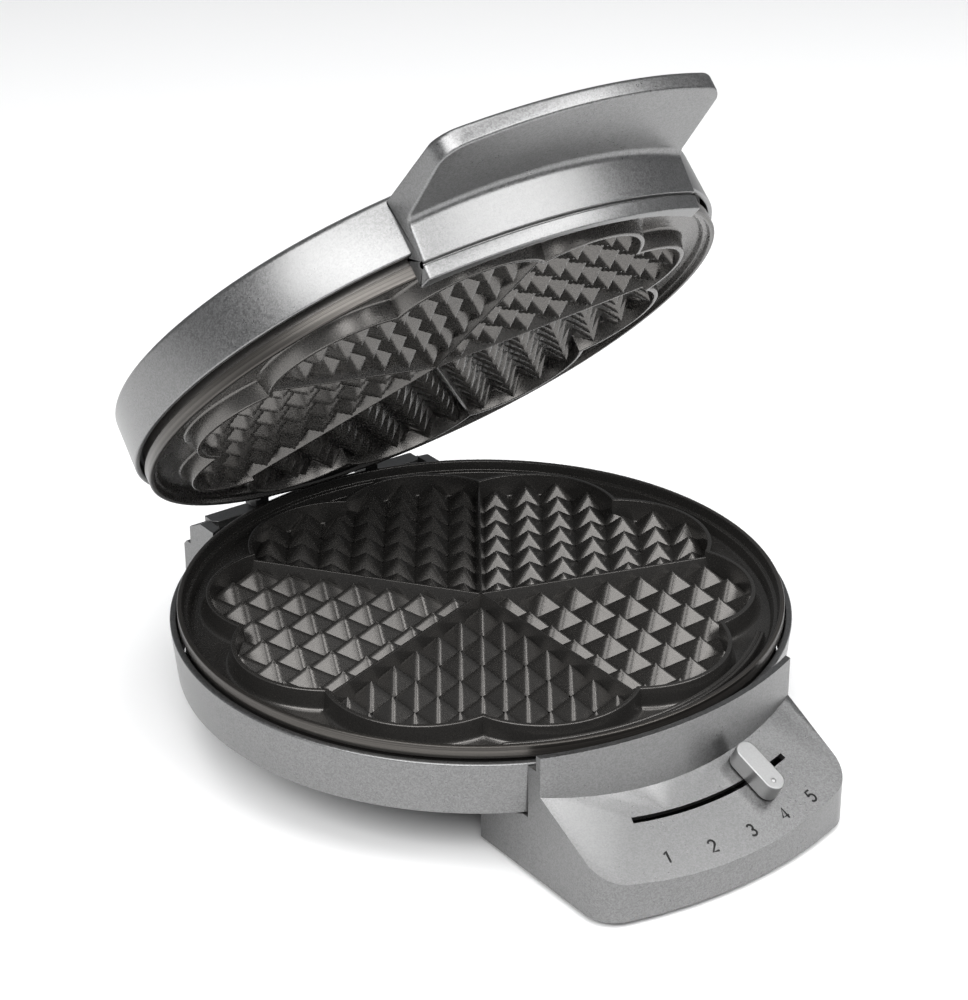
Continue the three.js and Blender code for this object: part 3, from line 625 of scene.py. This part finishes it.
EDGE_WIDTHS = {
    "console_housing": 0.8, "hinge_housing": 0.9, "slider_knob": 0.7, "lid_hinge_block": 0.5,
    "hinge_ear_left": 0.4, "hinge_ear_right": 0.4, "hinge_cap_left": 0.5, "hinge_cap_right": 0.5,
    "foot_front_left": 0.3, "foot_front_right": 0.3, "foot_rear_left": 0.3, "foot_rear_right": 0.3,
}
for node, width in EDGE_WIDTHS.items():
    softened(node, width)
print("softened:", len(EDGE_WIDTHS))

# %% [markdown]
# ## Numbers on the console
#
# The numbers are printed on the sloping face, fanned out round the point that the slider swings about. Each
# is a pen line: a path of points with a ribbon laid along it, a tenth of a millimetre thick. A text object
# would do as well, but these few strokes need no font.

# %% The sloping face as a drawing board
SLOPE = math.radians(27)
SLOPE_Y, SLOPE_Z = -135, -21.65
FAN_X, FAN_R = 3.3, 149
FAN_Y = SLOPE_Y + FAN_R * math.cos(SLOPE)
FAN_Z = SLOPE_Z + FAN_R * math.sin(SLOPE)


def on_slope(flat):
    """(across, down, up) on the face, from the fan's centre, as drawing numbers."""
    x, down, up = np.moveaxis(np.asarray(flat, float), -1, 0)
    y = FAN_Y - down * math.cos(SLOPE) - up * math.sin(SLOPE)
    z = FAN_Z - down * math.sin(SLOPE) + up * math.cos(SLOPE)
    return np.stack([FAN_X + x, y, z], axis=-1)


# %% Pen lines
def arc_line(cx, cy, rx, ry, start, stop, count=14):
    """Points of an ellipse's arc: the centre, the two radii, and the angles in degrees."""
    a = np.radians(np.linspace(start, stop, count))
    return np.stack([cx + rx * np.cos(a), cy + ry * np.sin(a)], axis=1)


STROKES = {
    "1": [[(0.05, 0.74), (0.33, 1.0), (0.33, 0.0)]],
    "2": [arc_line(0.29, 0.72, 0.27, 0.28, 165, -38), [(0.04, 0.0), (0.6, 0.0)]],
    "3": [arc_line(0.27, 0.75, 0.24, 0.25, 150, -90), arc_line(0.27, 0.26, 0.29, 0.26, 90, -150)],
    "4": [[(0.46, 0.0), (0.46, 1.0), (0.0, 0.27), (0.62, 0.27)]],
    "5": [[(0.54, 1.0), (0.12, 1.0), (0.07, 0.54)], arc_line(0.27, 0.32, 0.29, 0.32, 128, -150)],
}
STROKE_MIDDLE = (0.3, 0.5)
SLOPE_TOP_Y = -114.3
PLACES = {"1": (-28.8, 36.4), "2": (-10.6, 39.4), "3": (7.1, 40.0), "4": (22.8, 39.4), "5": (37.4, 37.4)}


def ribbon(path, width):
    """Each point's two sides lie half a width away along the normal of the line through its neighbours."""
    along = np.gradient(path, axis=0)
    along /= np.linalg.norm(along, axis=1, keepdims=True)
    normal = np.stack([-along[:, 1], along[:, 0]], axis=1) * width / 2
    return np.stack([path - normal, path + normal], axis=1)


def number(text, size=4.6, pen=0.8, thick=0.1, lift=0.02):
    """The ribbon's section is a low closed box, turned to point at the fan's centre."""
    x, along_slope = PLACES[text]
    foot_y = SLOPE_TOP_Y - along_slope * math.cos(SLOPE)
    down = (FAN_Y - foot_y) / math.cos(SLOPE)
    lean = math.atan2(x - FAN_X, down)
    sides = ribbon((np.concatenate(STROKES[text]) - STROKE_MIDDLE) * size, pen)
    box = np.stack([sides[:, 0], sides[:, 1], sides[:, 1], sides[:, 0]], axis=1)
    up = np.broadcast_to(np.array([lift, lift, thick, thick]), box.shape[:2])
    c, s = math.cos(lean), math.sin(lean)
    px, py = box[..., 0], -box[..., 1]
    turned_x, turned_y = px * c + py * s, -px * s + py * c
    points = on_slope(np.stack([x - FAN_X + turned_x, down + turned_y, up], axis=-1))
    return outward(sheet(points, wrap_v=True, caps=True))


numbers = piece("scale_numbers", [number(t) for t in STROKES], on_base, "base", crease=math.radians(20))

# %% [markdown]
# ## Pip on the knob
#
# A moulded pip near the knob's lower end points at the numbers. It could be part of the knob's mesh, but as
# a small dome of its own it keeps a clean outline. Its place is worked out from the knob's highest face.

# %% Pip
UP = np.array([0, -math.sin(SLOPE), math.cos(SLOPE)])
corners = np.array([v.co for v in frame["nodes"]["slider_knob"].data.vertices])
LEVEL = 0.0002
top = corners[corners @ UP > (corners @ UP).max() - LEVEL]
middle, lowest = (top.min(axis=0) + top.max(axis=0)) / 2, top[top[:, 2].argmin()]
PIP_R, PIP_HIGH, PIP_AT = 0.0010, 0.0004, 0.66
towards_end = (lowest - middle) / np.linalg.norm(lowest - middle)
sideways = np.cross(UP, towards_end)
rise = np.radians(np.linspace(-20, 90, 8))[:, None]
turn = circle_angles(24)[None, :]
flat = np.cos(rise) * PIP_R
dome = (flat * np.cos(turn))[..., None] * towards_end + (flat * np.sin(turn))[..., None] * sideways
dome = dome + (np.sin(rise) * PIP_HIGH + 0 * turn)[..., None] * UP + middle + (lowest - middle) * PIP_AT
pip = piece("knob_pip", [outward(sheet(dome, wrap_v=True, caps=True))], np.asarray, "thermostat_lever")

# %% [markdown]
# ## Finishes
#
# A finish is a node tree. Writing one by hand means many small nodes for sums and products, so a wire,
# which is one output of a node, is given Python's operators: a + b adds the Math node that adds them. Every
# other kind of node comes from one method.


# %% Wires and finishes
class Wire:
    """One output of a node in a finish."""

    def __init__(self, finish, socket):
        self.finish, self.socket = finish, socket

    def math(self, operation, *values):
        return self.finish.node("ShaderNodeMath", {"operation": operation}, dict(enumerate(values)))

    def __add__(self, other):
        return self.math("ADD", self, other)

    __radd__ = __add__

    def __mul__(self, other):
        return self.math("MULTIPLY", self, other)

    __rmul__ = __mul__

    def __pow__(self, other):
        return self.math("POWER", self, other)


class Finish:
    """A material with one Principled shader. Constants go on the shader's own sockets."""

    def __init__(self, name, **constants):
        self.material = bpy.data.materials.new(name)
        self.material.use_nodes = True
        self.tree = self.material.node_tree
        self.shader = self.tree.nodes["Principled BSDF"]
        for key, value in constants.items():
            self.shader.inputs[key.replace("_", " ").title()].default_value = value

    def node(self, kind, settings=None, inputs=None, output=0):
        made = self.tree.nodes.new(kind)
        for key, value in (settings or {}).items():
            setattr(made, key, value)
        for key, value in (inputs or {}).items():
            if isinstance(value, Wire):
                self.tree.links.new(value.socket, made.inputs[key])
            else:
                made.inputs[key].default_value = value
        return Wire(self, made.outputs[output])

    def drive(self, socket, wire):
        self.tree.links.new(wire.socket, self.shader.inputs[socket])

    def place(self, lid=False):
        """Object coordinates from the round parts' axis; on the lid also turned back shut about the hinge."""
        here = self.node("ShaderNodeTexCoord", output="Object")
        angle = LID_OPEN if lid else 0.0
        hinge = Vector((0, (HINGE_Y + AXIS_Y) / MM, (HINGE_Z + BAND_TOP) / MM))
        shift = hinge - Matrix.Rotation(angle, 3, "X") @ hinge - Vector((0, AXIS_Y / MM, BAND_TOP / MM))
        inputs = {"Vector": here, "Location": shift, "Rotation": (angle, 0, 0)}
        return self.node("ShaderNodeMapping", None, inputs)

    def noise(self, place, scale, detail=2.0, roughness=0.5):
        inputs = {"Vector": place, "Scale": scale, "Detail": detail, "Roughness": roughness}
        return self.node("ShaderNodeTexNoise", None, inputs)

    def blend(self, factor, low, high):
        """Colours go through a Mix node, because a Math node would turn them grey."""
        inputs = {"Factor": factor, 6: low, 7: high}
        return self.node("ShaderNodeMix", {"data_type": "RGBA"}, inputs, output=2)

    def ramp(self, wire, low, high):
        """0 at low, 1 at high, straight between and level outside."""
        inputs = {"Value": wire, "From Min": low, "From Max": high}
        return self.node("ShaderNodeMapRange", {"clamp": True}, inputs)

    def bump(self, height, distance, strength=1.0):
        inputs = {"Height": height, "Distance": distance, "Strength": strength}
        self.drive("Normal", self.node("ShaderNodeBump", None, inputs))


def grey(value, warmth=0.0):
    """A grey that warmth tints from neutral towards brown."""
    return (value * (1 + warmth), value, value * (1 - warmth), 1)


# %% [markdown]
# ### Silver lacquer
#
# Silver plastic is lacquer full of tiny aluminium flakes, each tilted its own way. From close by it
# sparkles, from afar it is a soft metal. A Voronoi pattern gives every flake a cell with a random value,
# which lightens or darkens it and tilts it through a bump. A broad noise adds the slight unevenness of
# sprayed lacquer.


# %% Silver lacquer
FLAKES_PER_METRE = 2100.0


def silver(name, tone=0.23, rough=0.33, lid=False):
    f = Finish(name, metallic=0.9, roughness=rough)
    place = f.place(lid)
    inputs = {"Vector": place, "Scale": FLAKES_PER_METRE}
    flake = f.node("ShaderNodeTexVoronoi", {"feature": "F1"}, inputs, output="Color")
    glint = f.node("ShaderNodeSeparateColor", None, {"Color": flake}, output=0)
    cloud = f.noise(place, 55.0, 3.0)
    light = f.ramp(glint * 0.9 + cloud * 0.2, 0.1, 1.0)
    f.drive("Base Color", f.blend(light, grey(tone * 0.78), grey(tone * 1.14)))
    f.drive("Roughness", glint * 0.12 + cloud * 0.03 + (rough - 0.07))
    f.bump(glint + f.noise(place, 900.0) * 0.6, 0.00005, 0.22)
    return f.material


# %% [markdown]
# ### Non-stick coating
#
# The plates are cast aluminium under a dark, slightly brown non-stick coat with the fine grain of sprayed
# and baked paint. Where they were turned on a lathe, on the rim's outer side, rings run round under the
# coat.
# The lower plate's copy has its greys scaled by 0.6 as painted shade, which dims how brightly its pyramids
# catch the key light.


# %% Non-stick coating
RIM_SIDE_M = (0.1150, 0.1160)
RINGS_PER_METRE = 4000.0, 1200.0


def coating(name, painted_shade=1.0, lid=False):
    f = Finish(name, metallic=0.75, roughness=0.33)
    place = f.place(lid)
    grain = f.noise(place, 1500.0, 2.0, 0.6)
    patch = f.noise(place, 38.0, 4.0, 0.55)
    parts = [f.node("ShaderNodeSeparateXYZ", None, {"Vector": place}, output=k) for k in range(3)]
    radius = (parts[0] * parts[0] + parts[1] * parts[1]) ** 0.5
    on_rim = f.ramp(radius, *RIM_SIDE_M)
    inputs = {0: radius * RINGS_PER_METRE[0], 1: parts[2] * RINGS_PER_METRE[1], 2: parts[0] * 6.0}
    lathe = f.noise(f.node("ShaderNodeCombineXYZ", None, inputs), 1.0, 3.0, 0.7)
    tone = f.ramp(patch * 0.3 + grain * 0.7, 0.3, 0.75)
    # Below 1 the factor is painted shade: it darkens the coat's greys on the lower plate so that its pyramids
    # catch less of the key light.
    coat = f.blend(tone, grey(0.10 * painted_shade, 0.04), grey(0.15 * painted_shade, 0.05))
    turned_side = f.blend(f.ramp(lathe, 0.35, 0.65), grey(0.025, 0.08), grey(0.10, 0.08))
    f.drive("Base Color", f.blend(on_rim, coat, turned_side))
    f.drive("Roughness", patch * 0.03 + grain * 0.06 + 0.23 + on_rim * 0.06)
    f.bump(grain * 0.35 + lathe * on_rim * 2.0, 0.00005, 0.5)
    return f.material


# %% [markdown]
# ### Plain finishes
#
# The rest are simpler and share one recipe: two greys mixed by a fine and a broad noise, and a faint grain
# in the surface. Only its numbers tell dark plastic from zinc-plated steel, heater tube, rolled sheet,
# rubber, ceramic or ink.


# %% Plain finishes
def moulded(name, dark, light, rough, grain=900.0, depth=0.00004, metallic=0.0, warmth=0.0):
    f = Finish(name, metallic=metallic, roughness=rough)
    place = f.place()
    fine, broad = f.noise(place, grain, 2.0, 0.6), f.noise(place, 60.0, 3.0)
    tone = f.ramp(fine * 0.5 + broad * 0.5, 0.3, 0.7)
    f.drive("Base Color", f.blend(tone, grey(dark, warmth), grey(light, warmth)))
    f.drive("Roughness", fine * 0.12 + broad * 0.08 + (rough - 0.1))
    f.bump(fine, depth, 0.6)
    return f.material


LOOKS = {
    "silver_plastic": silver("silver_lacquer_base", tone=0.205),
    "dark_plastic": moulded("dark_plastic", 0.016, 0.030, 0.5),
    # The lower plate's coating is painted darker by 0.6 as painted shade; the upper plate's copy keeps the
    # full tone.
    "coated_aluminium": coating("nonstick_lower_painted_shade", 0.6),
    "steel": moulded("zinc_plated_steel", 0.42, 0.58, 0.32, 2400.0, 0.00002, 1.0),
    "heater_steel": moulded("heater_sheath", 0.10, 0.22, 0.45, 1200.0, 0.00003, 1.0, 0.05),
    "bright_sheet": moulded("bright_rolled_sheet", 0.62, 0.75, 0.28, 500.0, 0.00002, 1.0),
    "rubber": moulded("rubber", 0.012, 0.022, 0.75, 1400.0),
    "insulator": moulded("ceramic", 0.55, 0.68, 0.55, 1100.0, 0.00003, 0.0, 0.05),
    "knob_plastic": moulded("light_silver_knob", 0.29, 0.36, 0.32, 1300.0, 0.00002, 0.75),
}
LID_LOOKS = {
    "silver_plastic": silver("silver_lacquer_lid", lid=True),
    "coated_aluminium": coating("nonstick_upper", lid=True),
}
INK = moulded("black_ink", 0.002, 0.004, 0.85, 2000.0, 0.00001)


# %% Give every piece its finish
def dress(thing, material):
    thing.data.materials.clear()
    thing.data.materials.append(material)


slots = {row["node"]: row["material_slot"] for row in frame["record"]["subparts"]}
on_the_lid = set(frame["record"]["behaviour"]["bodies"]["lid"])


def look_of(node):
    """The finish of a node's slot; silver and coating on the lid have finishes that turn with it."""
    look = LOOKS[slots[node]]
    return LID_LOOKS.get(slots[node], look) if node in on_the_lid else look


for node, thing in frame["nodes"].items():
    for material_slot in thing.material_slots:
        material_slot.link = "OBJECT"
        material_slot.material = look_of(node)
for thing in [o for o in bpy.context.scene.objects if "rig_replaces" in o]:
    node = thing["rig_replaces"][0]
    dress(thing, look_of(node))
dress(numbers, INK)
dress(pip, LOOKS["knob_plastic"])
print("dressed")

# %% [markdown]
# ## Studio
#
# A pale floor and a dim grey room hold four soft panels, since silver is only as good as what it mirrors.
# The key stands to the left of the front, and its reflection runs along the lid's band. A weaker one to the
# right of the front lights the faces turned that way, a large one overhead softens the shadows, and a small
# one at the right is mirrored by the console's slope.

# %% Floor
floor_mesh = bpy.data.meshes.new("floor")
reach = 6.0
floor_corners = [(-reach, -reach, 0), (reach, -reach, 0), (reach, reach, 0), (-reach, reach, 0)]
floor_mesh.from_pydata(floor_corners, [], [(0, 1, 2, 3)])
floor = bpy.data.objects.new("floor", floor_mesh)
bpy.context.scene.collection.objects.link(floor)
floor.location.z = -0.0004
paper = Finish("floor_paper", roughness=0.9, base_color=(0.95, 0.95, 0.95, 1))
floor_mesh.materials.append(paper.material)


# %% Lights
LIGHT_DISTANCE = 2.2
LIGHT_AIM = Vector((0, 0, 0.1))


def soft_light(name, azimuth, elevation, size, power):
    """A rectangular panel that faces the object; azimuth is from the front, -Y, towards the right."""
    a, e = math.radians(azimuth), math.radians(elevation)
    towards = Vector((math.sin(a) * math.cos(e), -math.cos(a) * math.cos(e), math.sin(e)))
    data = bpy.data.lights.new(name, "AREA")
    data.shape = "RECTANGLE"
    data.size, data.size_y = size
    data.energy = power
    light = bpy.data.objects.new(name, data)
    light.location = LIGHT_AIM + LIGHT_DISTANCE * towards
    light.rotation_euler = towards.to_track_quat("Z", "Y").to_euler()
    bpy.context.scene.collection.objects.link(light)


soft_light("overhead", -60, 82, (1.6, 1.8), 30)
soft_light("key", -58, 42, (2.6, 1.0), 49)
soft_light("front", 26, 46, (1.9, 0.8), 27)
soft_light("side", 64, 56, (0.6, 0.6), 5)

# %% Room
world = bpy.data.worlds.new("room")
bpy.context.scene.world = world
world.use_nodes = True
background = world.node_tree.nodes["Background"]
background.inputs["Color"].default_value = (0.85, 0.87, 0.9, 1)
background.inputs["Strength"].default_value = 0.2
bpy.context.scene.view_settings.view_transform = "Standard"
